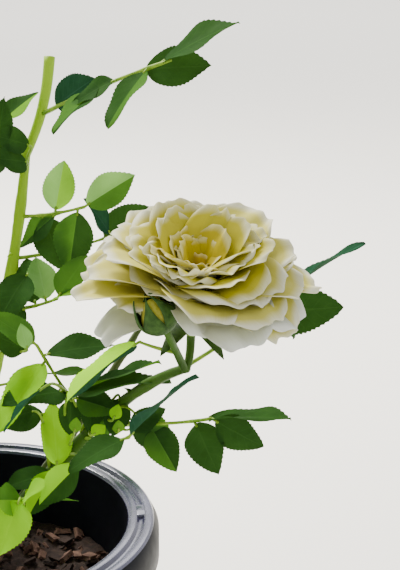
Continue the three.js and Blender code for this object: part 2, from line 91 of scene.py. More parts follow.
class Paint:
    def __init__(self, name, roughness, shine, **settings):
        self.material = bpy.data.materials.new(name)
        self.material.use_nodes = True
        self.tree = self.material.node_tree
        self.shader = self.tree.nodes["Principled BSDF"]
        for key, value in {"Roughness": roughness, "Specular_IOR_Level": shine, **settings}.items():
            self.shader.inputs[key.replace("_", " ")].default_value = value

    def node(self, kind, sockets, out=0, **settings):
        made = self.tree.nodes.new(kind)
        for key, value in settings.items():
            setattr(made, key, value)
        for key, value in sockets.items():
            if isinstance(value, Signal):
                self.tree.links.new(value.socket, made.inputs[key])
            else:
                made.inputs[key].default_value = value
        return Signal(self, made.outputs[out])

    def coordinates(self, kind):
        return self.node("ShaderNodeTexCoord", {}, kind)

    def axes(self, kind):  # the three parts of a coordinate
        split = self.node("ShaderNodeSeparateXYZ", {0: self.coordinates(kind)})
        return [Signal(self, socket) for socket in split.socket.node.outputs]

    def noise(self, scale, detail=3, roughness=0.5, vector=None):
        place = vector or self.coordinates("Object")
        return self.node("ShaderNodeTexNoise", {"Vector": place, "Scale": scale, "Detail": detail,
                                                "Roughness": roughness})

    def ramp(self, value, *stops):
        made = self.node("ShaderNodeValToRGB", {"Fac": value})
        for element, (place, colour) in zip(made.socket.node.color_ramp.elements, stops):
            element.position = place
            element.color = colour
        return made

    def blend(self, factor, first, second):
        return self.node("ShaderNodeMix", {0: factor, 6: first, 7: second}, 2, data_type="RGBA")

    def give(self, **links):
        for key, signal in links.items():
            self.tree.links.new(signal.socket, self.shader.inputs[key.replace("_", " ")])

    def bump(self, height, strength, distance):
        self.give(Normal=self.node("ShaderNodeBump", {"Height": height, "Strength": strength,
                                                      "Distance": distance}))

    def letThrough(self, share, colour):  # light that shines through a thin blade or petal
        through = self.node("ShaderNodeBsdfTranslucent", {"Color": colour})
        mixed = self.node("ShaderNodeMixShader", {0: share, 2: through})
        self.tree.links.new(self.shader.outputs[0], mixed.socket.node.inputs[1])
        self.tree.links.new(mixed.socket, self.tree.nodes["Material Output"].inputs["Surface"])


def grey(value):
    return (value, value, value, 1)


def clearOf(low, high):  # two stops of a ramp from black to white
    return (low, grey(0)), (high, grey(1))


# Leaves: base colour, colour of the veins and of the light that comes through, its share, and roughness. The
# tints are lit and shaded copies of one leaf: the darkest is painted shade, the bluish one is painted shade
# with a painted sheen, the brighter ones are painted sunlight and light shining through the blade, and the
# middle one lies between
leafColours = {
    "deep": ((0.013, 0.041, 0.009, 1), (0.026, 0.07, 0.016, 1), (0.065, 0.18, 0.02, 1), 0.12, 0.48),
    "mid": ((0.03, 0.088, 0.016, 1), (0.05, 0.13, 0.025, 1), (0.14, 0.36, 0.025, 1), 0.22, 0.48),
    "sun": ((0.07, 0.21, 0.014, 1), (0.14, 0.31, 0.03, 1), (0.27, 0.56, 0.03, 1), 0.34, 0.5),
    "lime": ((0.16, 0.43, 0.004, 1), (0.24, 0.52, 0.014, 1), (0.4, 0.85, 0.005, 1), 0.4, 0.5),
    "blue": ((0.007, 0.038, 0.018, 1), (0.025, 0.075, 0.045, 1), (0.03, 0.1, 0.02, 1), 0.1, 0.45),
    "pale": ((0.1, 0.25, 0.06, 1), (0.18, 0.35, 0.12, 1), (0.25, 0.5, 0.1, 1), 0.36, 0.5),
}
leafPattern = {"shine": 0.002, "midrib": 0.07, "veins": 44, "slant": 0.22, "mottle": 160, "grain": 220,
               "pores": 900, "bump": 0.45}


def leafFinish(name, base, vein, glow, through, roughness):
    look = leafPattern
    paint = Paint(name, roughness, look["shine"])
    along, across, _ = paint.axes("UV")
    side = abs(across - 0.5) * 2
    midrib = paint.ramp(side, (0, grey(1)), (look["midrib"], grey(0)))
    rows = ((along - side * look["slant"]) * look["veins"]).maths("SINE")
    veins = paint.ramp(rows, (0.86, grey(0)), (1, grey(0.55)))
    mottle = paint.ramp(paint.noise(look["mottle"], 4), (0.3, grey(0)), (0.75, grey(0.6)))
    veined = paint.blend(veins * 0.5, paint.blend(mottle, base, vein), vein)
    paint.give(Base_Color=paint.blend(midrib * 0.8, veined, vein),
               Roughness=paint.noise(look["grain"], 2) * 0.25 + (roughness - 0.1))
    paint.bump(veins * -0.5 - midrib + paint.noise(look["pores"], 2) * 0.3, look["bump"], 0.0002)
    paint.letThrough(through, glow)
    return paint.material


# Petals: colour at the root, over the blade and at the rim, for each kind of ring
petalColours = {
    "outer": ((0.54, 0.45, 0.02, 1), (0.65, 0.61, 0.13, 1), (0.83, 0.84, 0.74, 1)),
    "middle": ((0.5, 0.38, 0.002, 1), (0.58, 0.53, 0.03, 1), (0.8, 0.8, 0.54, 1)),
    "inner": ((0.48, 0.33, 0.001, 1), (0.56, 0.47, 0.008, 1), (0.79, 0.76, 0.34, 1)),
    "heart": ((0.5, 0.28, 0.001, 1), (0.57, 0.42, 0.004, 1), (0.8, 0.73, 0.28, 1)),
    "under": ((0.56, 0.51, 0.15, 1), (0.68, 0.68, 0.4, 1), (0.83, 0.84, 0.76, 1)),
    "shaded": ((0.5, 0.49, 0.28, 1), (0.62, 0.65, 0.58, 1), (0.8, 0.83, 0.82, 1)),
}
petalPattern = {"roughness": 0.6, "shine": 0.16, "wander": 60, "rim": 0.9, "streaks": (2.5, 46, 1),
                "grain": 300, "crepe": 220, "bump": 0.16, "through": 0.38}


def petalFinish(name, root, blade, rim):
    look = petalPattern
    paint = Paint(name, look["roughness"], look["shine"])
    along, across, _ = paint.axes("UV")
    side = abs(across - 0.5) * 2
    wander = paint.noise(look["wander"], 3) * 0.25 - 0.12
    rooted = paint.ramp(along + wander, (0.12, root), (0.8, blade))
    edge = paint.ramp(along + side * side * 0.12 + wander * 0.2, *clearOf(look["rim"], 1))
    edged = paint.blend(edge, rooted, rim)
    stretched = paint.node("ShaderNodeMapping", {"Vector": paint.coordinates("UV"), "Scale": look["streaks"]})
    streaks = paint.noise(1, 2, vector=stretched)
    streaked = paint.ramp(streaks, *clearOf(0.45, 0.9)) * 0.35
    paint.give(Base_Color=paint.blend(streaked, edged, root),
               Roughness=paint.noise(look["grain"], 2) * 0.2 + 0.45)
    paint.bump(streaks + paint.noise(look["crepe"], 2) * 0.3, look["bump"], 0.0003)
    paint.letThrough(look["through"], blade)
    return paint.material


# Bark: an old colour at the foot, flecked through the young one above. The rise turns metres into a share
canePattern = {"roughness": 0.5, "shine": 0.18, "rise": 8, "drift": 90, "flecks": 1400, "grain": 260,
               "relief": 1100, "bump": 0.4}


def caneFinish(name, young, old, spots):
    look = canePattern
    paint = Paint(name, look["roughness"], look["shine"])
    height = paint.axes("Object")[2]
    drift = paint.noise(look["drift"], 3) * 0.5
    aged = paint.ramp(height * look["rise"] + drift - 0.25, (spots[0], old), (spots[1], young))
    flecks = paint.ramp(paint.noise(look["flecks"], 3, 0.6), *clearOf(0.58, 0.72))
    paint.give(Base_Color=paint.blend(flecks * 0.45, aged, old),
               Roughness=paint.noise(look["grain"], 3) * 0.35 + 0.35)
    paint.bump(paint.noise(look["relief"], 4, 0.6), look["bump"], 0.0004)
    return paint.material


def plainFinish(name, first, second, scale, roughness, bump=0.3, shine=0.5, **settings):
    paint = Paint(name, roughness, shine, **settings)
    patches = paint.ramp(paint.noise(scale, 5, 0.6), *clearOf(0.35, 0.68))
    paint.give(Base_Color=paint.blend(patches, first, second),
               Roughness=paint.noise(scale * 2.3, 3) * 0.24 + (roughness - 0.12))
    paint.bump(paint.noise(scale * 4, 4, 0.6), bump, 0.0005)
    return paint.material


leafFinishes = {name: leafFinish("leaf_" + name, *look) for name, look in leafColours.items()}
petalFinishes = {name: petalFinish("petal_" + name, *look) for name, look in petalColours.items()}
limeBark = caneFinish("lime_cane_skin", (0.25, 0.44, 0.012, 1), (0.16, 0.2, 0.05, 1), (0.82, 0.98))
greenBark = caneFinish("green_cane_skin", (0.04, 0.1, 0.008, 1), (0.06, 0.06, 0.03, 1), (0.62, 0.98))
oldBark = caneFinish("old_cane_bark", (0.04, 0.065, 0.01, 1), (0.055, 0.042, 0.022, 1), (0.6, 0.98))
twigSkin = plainFinish("leaf_stalk_skin", (0.12, 0.25, 0.015, 1), (0.26, 0.4, 0.04, 1), 240, 0.5, shine=0.15)
sepalSkin = plainFinish("sepal_skin", (0.02, 0.05, 0.01, 1), (0.05, 0.11, 0.022, 1), 380, 0.55, shine=0.1)
budPetal = plainFinish("bud_petal", (0.24, 0.24, 0.02, 1), (0.38, 0.36, 0.05, 1), 420, 0.55, shine=0.1)
cutWood = plainFinish("cut_pith", (0.5, 0.55, 0.25, 1), (0.4, 0.36, 0.18, 1), 900, 0.7)
potPlastic = plainFinish("black_pot_plastic", (0.003, 0.0035, 0.006, 1), (0.006, 0.007, 0.011, 1),
                         60, 0.45, 0.06, 0.1)
# The rim is glossy, and its lighter bluish base colour is a painted reflection on the black plastic
potRimPaintedReflection = plainFinish("glossy_pot_rim_painted_reflection", (0.022, 0.022, 0.048, 1), (0.055, 0.055, 0.105, 1), 60, 0.26, 0.06, 0.9,
                     Specular_Tint=(0.8, 0.82, 1, 1), Coat_Weight=0.6, Coat_Roughness=0.1)
soilCrumbs = plainFinish("soil_crumbs", (0.012, 0.007, 0.006, 1), (0.034, 0.019, 0.014, 1), 420, 0.92, 1, 0.2)
barkChips = plainFinish("bark_chips", (0.05, 0.025, 0.018, 1), (0.16, 0.088, 0.064, 1), 300, 0.85, 0.8, 0.2)
print("finishes made")


# Shared helpers. Sizes are in millimetres until a mesh is finished
def makeDice(seed):  # the frame's rule for seeded numbers from 0 to 1
    state, factor, modulus = [seed], 16807, 2147483647

    def roll():
        state[0] = (state[0] * factor) % modulus
        return state[0] / modulus

    return roll


def vary(dice, base, spread):
    return base + spread * dice()


def sway(dice, width):
    return width * (dice() - 0.5)


def mix(first, second, share):
    return first + (second - first) * share


def aim(heading, rise):
    level = math.cos(math.radians(rise))
    turn = math.radians(heading)
    return Vector((level * math.cos(turn), level * math.sin(turn), math.sin(math.radians(rise))))


def polar(radius, turn, height):
    return Vector((radius * math.cos(turn), radius * math.sin(turn), height))


def profileAt(profile, share):  # height and radius at a share of the way along a profile
    place = share * (len(profile) - 1)
    i = min(int(place), len(profile) - 2)
    return [mix(first, second, place - i) for first, second in zip(profile[i], profile[i + 1])]


def bezier(points):
    corners = [Vector(point) for point in points]

    def place(share):
        left = corners
        while len(left) > 1:
            left = [a.lerp(b, share) for a, b in zip(left, left[1:])]
        return left[0]

    return place


def makeObject(name, bm, finishes):  # from millimetres to metres
    bmesh.ops.scale(bm, vec=(mm, mm, mm), verts=bm.verts)
    mesh = bpy.data.meshes.new(name)
    bm.to_mesh(mesh)
    bm.free()
    for finish in finishes:
        mesh.materials.append(finish)
    return addObject(name, mesh)


# Rods: how narrow a knot is, how far a round end stands out, and the scales of the bark's relief
rodLook = {"knot": 26, "end": 0.6, "coarse": 0.9, "fine": 2.3, "fineShare": 0.6}
weldGap, sliver = 1e-4, 1e-7


def facesOf(verts):
    return {face for vert in verts for face in vert.link_faces}


class Shape:  # a bmesh that grows part by part and ends as one object
    def __init__(self, finishes):
        self.bm = bmesh.new()
        self.bm.loops.layers.uv.new("UVMap")
        self.finishes = finishes

    def sheet(self, rows, columns, slots, place):  # place(along 0..1, across -1..1) gives a point
        made = bmesh.ops.create_grid(self.bm, x_segments=rows, y_segments=columns, size=1, calc_uvs=True)
        verts = made["verts"]
        for face in facesOf(verts):
            left = face.calc_center_median().y < 0
            face.material_index = slots[0] if left else slots[-1]
            face.smooth = True
        for vert in verts:
            vert.co = place(0.5 + 0.5 * vert.co.x, vert.co.y)

    def rod(self, path, radius, sides, rows, slot, flatEnd=False, relief=0, knots=(), swell=0):
        steps = [path(i / rows) for i in range(rows + 1)]
        rings = []
        across = None
        for i, step in enumerate(steps):
            tangent = (steps[min(i + 1, rows)] - steps[max(i - 1, 0)]).normalized()
            if across is None:
                across = tangent.orthogonal()
            across = (across - tangent * across.dot(tangent)).normalized()
            rings.append((step, across.copy(), tangent.cross(across), tangent))

        def wrap(along, around):
            i = min(int(round(along * (rows + 2))), rows + 2)
            ring = min(max(i - 1, 0), rows)
            step, side, over, tangent = rings[ring]
            turn = math.pi * around
            size = radius(ring / rows)
            for knot in knots:
                size *= 1 + swell * math.exp(-((ring / rows - knot) * rodLook["knot"]) ** 2)
            direction = side * math.cos(turn) + over * math.sin(turn)
            if i in (0, rows + 2):
                return step + tangent * (0 if flatEnd or i == 0 else size * rodLook["end"])
            point = step + direction * size
            if relief:
                fine = rodLook["fineShare"] * noise.noise(point * rodLook["fine"])
                point += direction * (relief * (noise.noise(point * rodLook["coarse"]) + fine))
            return point

        self.sheet(rows + 2, sides, [slot], wrap)

    def finish(self, name, nodes, slotName, levels=0, thick=0, under=0):
        bm = self.bm
        bmesh.ops.remove_doubles(bm, verts=bm.verts, dist=weldGap)
        flat = [face for face in bm.faces if face.calc_area() < sliver]
        bmesh.ops.delete(bm, geom=flat, context="FACES")
        piece = makeObject(name, bm, self.finishes)
        if thick:
            solid = piece.modifiers.new("thickness", "SOLIDIFY")
            solid.thickness = thick * mm
            solid.offset = 0
            solid.material_offset = under  # the underside's finish, counted from the face's own
        if levels:
            smoother = piece.modifiers.new("smooth", "SUBSURF")
            smoother.levels = levels
            smoother.render_levels = levels
        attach(piece, "root")
        if nodes:
            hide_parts(*nodes)
        print(name, len(piece.data.polygons), "faces")


# Limbs: the same curves as the frame's, from foot to tip
soilTop = 107
caneRoot = (0, 0, 114.95)
bloomSeat = Vector((96, -74, 241.5))
bloomAxis = Vector((0.08, -0.27, 0.95))
budSeat = Vector((88, -95, 250))
budAxis = Vector((-0.4, -0.28, 0.87))
fork = (94, -78, 230)
limbs = {
    "bloom_cane": [caneRoot, (34, -14, 150), (62, -34, 205), (94.5, -78.5, 231)],
    "cut_cane": [caneRoot, (8, 6, 170), (27, 2, 238), (32, 6, 288)],
    "cut_cane_top": [(32, 6, 287), (36, 8, 296), (40, 11, 305), (41, 17, 323)],
    "bloom_stalk": [fork, (96, -78, 234), bloomSeat - bloomAxis * 4, bloomSeat],
    "bud_stalk": [fork, (91.5, -82, 237), budSeat - budAxis * 4, budSeat],
    "left_front_cane": [caneRoot, (-25, -20, 142), (-46, -36, 176), (-58, -50, 205)],
    "left_cane": [caneRoot, (-28, 2, 142), (-50, 8, 186), (-62, 6, 226)],
    "back_left_cane": [caneRoot, (-18, 22, 142), (-32, 42, 192), (-38, 52, 242)],
    "back_cane": [caneRoot, (2, 26, 146), (2, 50, 186), (-6, 62, 226)],
    "back_right_cane": [caneRoot, (32, 4, 145), (54, 14, 180), (78, 42, 212)],
    "front_cane": [caneRoot, (-2, -28, 140), (-8, -50, 166), (-18, -64, 192)],
    "centre_cane": [caneRoot, (-8, 3, 160), (-18, -4, 212), (-14, -8, 264)],
}
limbCurves = {name: bezier(points) for name, points in limbs.items()}
limbRadii = {"bloom_cane": (3.6, 1.6), "cut_cane": (3.4, 1.8), "cut_cane_top": (1.8, 2.2),
             "bloom_stalk": (1.4, 1.5), "bud_stalk": (1.4, 1.2), "back_right_cane": (3, 1.2)}
oldRadii = (3.6, 2)
greenLimbs = ("bloom_cane", "bloom_stalk", "bud_stalk")
caneLook = {"rows": 70, "relief": 0.16, "knots": (0.18, 0.34, 0.52, 0.7, 0.86)}
topLook = {"rows": 24, "relief": 0.05, "knots": ()}
caneSides, knotSwell, pithRadius = 14, 0.16, 1.5
thornLook = {"count": 6, "place": (0.15, 0.65), "long": 3.2, "size": (0.6, 0.5), "sunk": 0.4, "hook": 0.45,
             "radius": 0.95, "tip": 0.06}


def limbRadius(limb, share):
    return mix(*limbRadii.get(limb, oldRadii), share)


def addThorns(shape, limb, slot):
    look = thornLook
    curve = limbCurves[limb]
    dice = makeDice(len(limb) * 991 + 17)
    for _ in range(look["count"]):
        at = vary(dice, *look["place"])
        base = curve(at)
        tangent = (curve(at + 0.02) - base).normalized()
        out = tangent.cross(aim(360 * dice(), 20 * dice())).normalized()
        size = look["long"] * vary(dice, *look["size"])
        foot = base + out * (limbRadius(limb, at) - look["sunk"])
        path = bezier([foot, foot + out * size * 0.6, foot + out * size - tangent * size * look["hook"]])
        shape.rod(path, lambda share: look["radius"] * (1 - share) ** 1.3 + look["tip"], 6, 5, slot)


def makeCanes():
    shape = Shape([greenBark, oldBark, cutWood, limeBark])
    for name in limbs:
        slot = 3 if name.startswith("cut") else 0 if name in greenLimbs else 1
        look = caneLook if name.endswith("cane") else topLook
        shape.rod(limbCurves[name], lambda share: limbRadius(name, share), caneSides, look["rows"], slot,
                  name == "cut_cane_top", look["relief"], look["knots"], knotSwell)
        if look is caneLook:
            addThorns(shape, name, slot)
    top = limbCurves["cut_cane_top"](1)
    shape.rod(bezier([top - worldUp * 0.3, top + worldUp * 0.25]), lambda share: pithRadius, 12, 1, 2, True)
    shape.finish("canes", list(limbs), "green_cane")


# Crown: height and radius up its side, and the size and scale of its lumps
crownLook = {"rows": 26, "columns": 30, "lumps": ((0.9, 0.28), (0.4, 0.8)), "profile": [
    (107.3, 10.2), (109, 11.4), (112.4, 12), (115, 11.2), (118.3, 10.2), (121.5, 7.8), (124.3, 5)]}


def makeCrown():
    shape = Shape([oldBark])

    def burl(along, around):
        height, radius = profileAt(crownLook["profile"], along)
        if along in (0, 1):
            return Vector((0, 0, height))
        point = polar(radius, math.pi * around, height)
        lump = sum(size * noise.noise(point * scale) for size, scale in crownLook["lumps"])
        return point + Vector((point.x, point.y, 0)).normalized() * lump

    shape.sheet(crownLook["rows"], crownLook["columns"], [0], burl)
    shape.finish("crown_burl", ["rose_crown"], "old_cane")


makeCanes()
makeCrown()
print("canes made")

# Leaflets: an ovate toothed blade, folded and arched. Near and far ones have their rows and columns
leafletLook = {
    "width": 0.62, "stalk": 1.3, "fold": 0.16, "droop": 0.12, "sink": 1.6, "middle": 0.45,
    "ripple": 0.03, "teeth": 0.055, "toothReach": 0.012, "toothed": (0.04, 0.95),
    "near": (34, 6), "far": (15, 4),
}
stalkLook = {"foot": 2.6, "taper": 0.55, "swell": 0.35, "sides": 8, "rows": 12}
leafTints = list(leafColours)


def bladeWidth(along):
    if not 0 < along < 1:
        return 0
    return math.sin(math.pi * along ** 0.84) ** 0.82 * (1.04 - 0.12 * along)


def addLeaflet(shape, root, along, up, length, tint, detail, phase, girth=1):
    side = along.cross(up).normalized()
    top = side.cross(along).normalized()
    look = leafletLook
    rows, columns = look[detail]
    span = length + look["sink"]
    foot = min(look["stalk"], 0.1 * length)

    def place(share, across):
        reach = mix(foot, length, share)
        half = 0.5 * look["width"] * girth * length * bladeWidth(share)
        if abs(across) > 0.99 and look["toothed"][0] < share < look["toothed"][1]:
            tooth = round(share * rows) % 2
            half *= 1 + look["teeth"] * (tooth - 0.4)
            reach += look["toothReach"] * length * tooth
        sideways = half * across
        bend = (reach + look["sink"]) / span
        lift = look["fold"] * abs(sideways) - look["droop"] * span * bend ** 2
        lift += look["ripple"] * length * across * across * math.sin(share * 9 + phase + 1.6 * across)
        return root + along * reach + side * sideways + top * lift

    # Two tints joined by a slash paint the blade's two halves with different painted light and shade
    shape.sheet(rows, columns, [leafTints.index(half) for half in tint.split("/")], place)


def leafletFrame(start, tip, face, sag, entry):  # the leaf's midline, and how one of its leaflets lies
    at, spread, lift, roll, length = entry
    chord = tip - start
    middle = (start + tip) / 2 - worldUp * (sag * chord.length)
    curve = bezier([start, middle, tip])
    forward = chord.normalized()
    side = face.cross(forward).normalized()
    top = forward.cross(side)
    spread, lift = math.radians(spread), math.radians(lift)
    along = (forward * math.cos(spread) + side * math.sin(spread)) * math.cos(lift) + top * math.sin(lift)
    up = (top - along * top.dot(along)).normalized()
    turn = math.radians(roll)
    up = up * math.cos(turn) + along.cross(up) * math.sin(turn)
    return curve, along, up


def addStalk(twigs, curve, radius, joints):
    look = stalkLook
    twigs.rod(curve, lambda share: radius * mix(1, look["taper"], share), look["sides"], look["rows"], 0,
              knots=joints, swell=look["swell"])


def addFoot(twigs, root, along, radius, sides, rows):  # the short stalk under one leaflet
    twigs.rod(bezier([root, root + along * stalkLook["foot"]]), lambda share: radius, sides, rows, 0)


# Leaves that show one by one: limb, place on it, tip, face, sag, tints, and leaflets as in the frame. Each
# tint paints light and shade on a leaflet as the light falls on it, one per half where two are joined by a
# slash.
# A leaflet has its place on the leaf, spread, lift and roll in degrees, and length
shownLeaves = {
    "lower_right_leaf": (
        "bloom_cane", 0.66, (103, -77, 212), (0, -0.75, 0.66), 0.06, "deep/mid deep deep deep",
        [(0.45, -50, -25, -25, 20), (0.85, -50, -10, -25, 22), (0.95, 12, -10, -50, 32),
        (1, -20, -40, 20, 20)]),
    "edge_on_leaf": ("bloom_cane", 0.58, (75, -86, 209), (0, -0.4, 0.9), 0.06, "blue deep",
        [(1, 50, 30, 0, 33), (0.97, -87, -3, -30, 23)]),
    "upper_left_leaf": (
        "bloom_cane", 0.62, (41, -53, 230), (0.3, -0.7, 0.6), 0.06, "deep deep/mid lime deep mid",
        [(0.9, -110, 40, -80, 26), (0.4, -70, 50, -140, 38), (0.85, 90, 0, 95, 31), (0.5, 45, 0, 70, 29),
        (1, 5, -30, 20, 20)]),
    "low_front_leaf": ("bloom_cane", 0.36, (46, -48, 180), (0, -0.6, 0.8), 0.06, "lime deep/lime deep",
        [(1, 70, 50, 130, 25), (0.95, -80, -15, -65, 20), (0.85, -70, 25, -60, 20)]),
    "low_left_leaf": (
        "bloom_cane", 0.3, (35, -69, 178), (0, -0.6, 0.8), 0.06, "lime lime sun/mid deep/mid",
        [(1, -35, -45, -40, 24), (0.85, 25, 15, 45, 20), (0.9, -20, 5, -85, 20), (0.5, 70, 0, 0, 22)]),
    "mid_left_leaf": ("cut_cane", 0.62, (45, -20, 237), (0, -0.7, 0.7), 0.06, "deep pale mid sun deep",
        [(0.45, -90, 35, -60, 20), (0.8, 107, 30, 50, 20), (1, 65, 5, 35, 20), (0.95, 5, 10, -35, 16),
        (0.6, 115, 20, 40, 24)]),
    "behind_bloom_leaf": ("cut_cane", 0.74, (64, 8, 254), (0, -0.7, 0.7), 0.06, "blue deep",
        [(1, 115, 60, 50, 20), (0.9, 22, 5, 15, 24)]),
    "mid_right_leaf": (
        "cut_cane", 0.84, (55, -5, 269), (0, -0.8, 0.6), 0.06, "deep pale/sun deep/mid pale/mid deep/mid",
        [(0.35, -70, -15, -20, 23), (0.55, 75, 15, 25, 21), (0.6, -145, 5, 10, 20), (1, 25, 5, 15, 23),
        (0.9, -105, -15, -25, 25)]),
    "top_right_leaf": (
        "cut_cane_top", 0.5, (89, -38, 329), (0, -0.5, 0.86), -0.03, "blue deep/mid deep mid/deep deep deep",
        [(0.12, 5, 12, 50, 24), (0.5, -110, 5, -5, 26), (0.62, -150, 10, -15, 20),
        (0.84, -105, -5, -5, 27), (0.8, 15, -20, 40, 25), (0.92, 20, 5, 4, 33)]),
    "far_left_leaf": ("cut_cane", 0.97, (14, -14, 296), (0, -0.7, 0.7), 0.06, "deep deep deep mid",
        [(0.5, -60, 40, -100, 22), (0.5, 50, -10, 50, 22), (1, -60, -10, -30, 22), (1, 20, -15, 20, 24)]),
    "far_left_top_leaf": ("cut_cane_top", 0.15, (14, 2, 305), (0, -0.7, 0.7), 0.06, "deep/sun mid mid",
        [(0.6, -105, 30, -60, 20), (1, -20, 0, 0, 22), (0.95, -60, 15, -40, 20)]),
    "right_of_bloom_leaf": ("bloom_cane", 0.97, (131, -37, 245), (0, -0.3, 0.95), 0.06, "deep blue deep",
        [(0.75, -52, 10, 40, 29), (1, -32, 37, -35, 33), (0.7, -10, -40, -5, 24)]),
    "bud_bract_leaf": ("bud_stalk", 0.4, (79, -86, 243), (0, -0.5, 0.86), 0.06, "lime/blue",
        [(1, 30, -45, 75, 32)]),
}

# Single leaflets that stand among the ones above: bearer, place on it, foot, tip, face, tint and girth. The
# tint paints their light and shade
innerLeaflets = [
    ("bloom_cane", 0.5, (51, -52, 210), (87, -62, 225), (0, 0.05, 1), "deep", 1),
    ("bloom_cane", 0.6, (53, -50, 209), (69, -56, 207), (0.1, -0.8, 0.7), "deep/mid", 1.1),
    ("bloom_cane", 0.55, (62, -48, 210), (58, -54, 197), (-0.2, -1, 0.3), "deep", 1),
    ("bloom_cane", 0.66, (70, -50, 210), (68, -56, 196), (0.3, -1, 0.2), "deep", 1.1),
    ("bloom_cane", 0.7, (75, -58, 207), (89, -62, 192), (0, -1, 0.3), "mid/deep", 1),
    ("bloom_cane", 0.5, (52, -44, 207), (50, -46, 192), (-0.3, -1, 0.3), "deep", 1),
    ("bloom_cane", 0.58, (64, -46, 206), (64, -50, 192), (0.2, -1, 0.5), "mid", 1),
    ("bloom_cane", 0.66, (73, -60, 200), (86, -60, 209), (0, -0.8, 0.6), "deep", 0.9),
    ("bloom_cane", 0.62, (60, -60, 198), (65, -60, 202), (0, -1, 0.3), "lime", 1.4),
    ("bloom_cane", 0.66, (68, -60, 204), (70, -60, 210), (0, -1, 0.3), "lime", 1.2),
    ("bloom_cane", 0.66, (70, -60, 199), (70, -60, 204), (0, -1, 0.3), "sun", 1.4),
    ("bloom_cane", 0.5, (54, -60, 199), (55, -60, 205), (0, -1, 0.3), "sun", 1.2),
    ("cut_cane", 0.52, (37, -45, 225), (26, -50, 233), (0, -0.9, 0.5), "deep", 1.2),
    ("cut_cane", 0.52, (39, -62, 231), (37, -62, 241), (0.3, -1, 0.3), "pale", 0.9),
    ("upper_left_leaf", 0.5, (46, -78, 224), (31, -84, 212), (-0.3, 0.25, 1), "blue", 1.2),
    ("bloom_cane", 0.5, (56, -58, 187), (40, -62, 172), (-0.3, -1, 0.4), "deep/lime", 0.85),
    ("bloom_cane", 0.42, (40, -50, 204), (22, -54, 201), (0, -0.8, 0.6), "deep", 0.9),
    ("bloom_cane", 0.42, (42, -40, 199), (24, -42, 195), (0, -0.9, 0.4), "deep", 0.9),
    ("cut_cane", 0.6, (35, -22, 248), (25, -40, 236), (-0.3, -1, 0.4), "deep", 1),
    ("cut_cane", 0.96, (35, -2, 292), (24, -14, 299), (0, -1, 0.6), "deep", 1),
    ("cut_cane", 0.94, (34, -4, 286), (25, -20, 292), (0.2, -0.9, 0.6), "deep", 1),
]


def makeShownLeaves():
    blades, stalks = Shape(list(leafFinishes.values())), Shape([twigSkin])
    bearers = dict(limbCurves)
    for number, (name, (limb, at, tip, face, sag, tints, leaflets)) in enumerate(shownLeaves.items()):
        start = limbCurves[limb](at)
        for entry, tint in zip(leaflets, tints.split()):
            curve, along, up = leafletFrame(start, Vector(tip), Vector(face), sag, entry)
            root = curve(entry[0])
            addLeaflet(blades, root, along, up, entry[4], tint, "near", number + 3 * entry[0])
            addFoot(stalks, root, along, 0.55, 6, 2)
        addStalk(stalks, curve, 0.85, [entry[0] for entry in leaflets])
        bearers[name] = curve
    for number, (bearer, at, foot, tip, face, tint, girth) in enumerate(innerLeaflets):
        foot, tip, face, start = Vector(foot), Vector(tip), Vector(face), bearers[bearer](at)
        along = (tip - foot).normalized()
        up = (face - along * face.dot(along)).normalized()
        addLeaflet(blades, foot, along, up, (tip - foot).length, tint, "near", number, girth)
        middle = (start + foot) / 2 + worldUp * 3
        addStalk(stalks, bezier([start, middle, foot - along * 3, foot + along * 2]), 0.7, [])
    blades.finish("shown_leaf_blades", list(shownLeaves), "leaf")
    stalks.finish("shown_leaf_stalks", [], "leaf")


makeShownLeaves()
print("shown leaves made")

# Sprays that fill the crown: limb, place, heading, rise, length, leaves
sprays = {
    "centre_tip_spray": ("centre_cane", 1, 230, 75, 32, 4),
    "left_tip_spray": ("left_cane", 1, 180, 60, 34, 4),
    "left_front_tip_spray": ("left_front_cane", 1, 215, 45, 32, 4),
    "back_left_tip_spray": ("back_left_cane", 1, 150, 62, 34, 4),
    "back_tip_spray": ("back_cane", 1, 100, 75, 34, 4),
    "front_tip_spray": ("front_cane", 1, 258, 40, 30, 4),
    "back_right_tip_spray": ("back_right_cane", 1, 50, 12, 26, 4),
    "centre_left_spray": ("centre_cane", 0.82, 205, 30, 32, 4),
    "centre_back_spray": ("centre_cane", 0.7, 90, 35, 32, 3),
    "left_front_side_spray": ("left_front_cane", 0.8, 180, 20, 30, 3),
    "left_side_spray": ("left_cane", 0.78, 140, 25, 30, 3),
    "left_low_spray": ("left_cane", 0.58, 190, 0, 34, 3),
    "left_front_low_spray": ("left_front_cane", 0.6, 235, 0, 32, 3),
    "front_low_spray": ("front_cane", 0.58, 280, 0, 30, 3),
    "back_left_low_spray": ("back_left_cane", 0.5, 135, 5, 34, 3),
    "back_low_spray": ("back_cane", 0.55, 95, 5, 32, 3),
    "back_right_low_spray": ("back_right_cane", 0.55, 60, -10, 30, 3),
}
# The sprays take the lit and shaded copies of the leaf finish in turn
sprayTints = ["deep", "mid", "mid", "sun", "deep", "mid", "lime"]
# Pairs are a base and what chance adds to it. A leaflet grows where the frame's solid has one within near
sprayLook = {
    "stem": (1.4, 0.7), "bow": 3, "firstLeaf": 0.22, "goldenTurn": 137.5, "turn": 40, "endLean": 15,
    "lean": (62, 12), "reach": 32, "reachShare": (0.85, 0.3), "outward": 0.9, "outwardShare": (0.6, 0.8),
    "sag": 0.06, "pairs": (0.4, 0.78), "spread": (58, 10), "lift": (-14, 16), "roll": 12, "leaflet": 28,
    "pairShare": (0.8, 0.2), "size": (0.85, 0.25), "endSpread": 20, "endLift": -8, "endSize": (1, 0.2),
    "near": 0.75,
}


def nearNode(name):  # tells how far a point is from a solid of the frame, in millimetres
    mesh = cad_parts[name].data
    corners = [vert.co for vert in mesh.vertices]
    tree = BVHTree.FromPolygons(corners, [face.vertices for face in mesh.polygons])
    return lambda point: tree.find_nearest(point * mm)[3] / mm


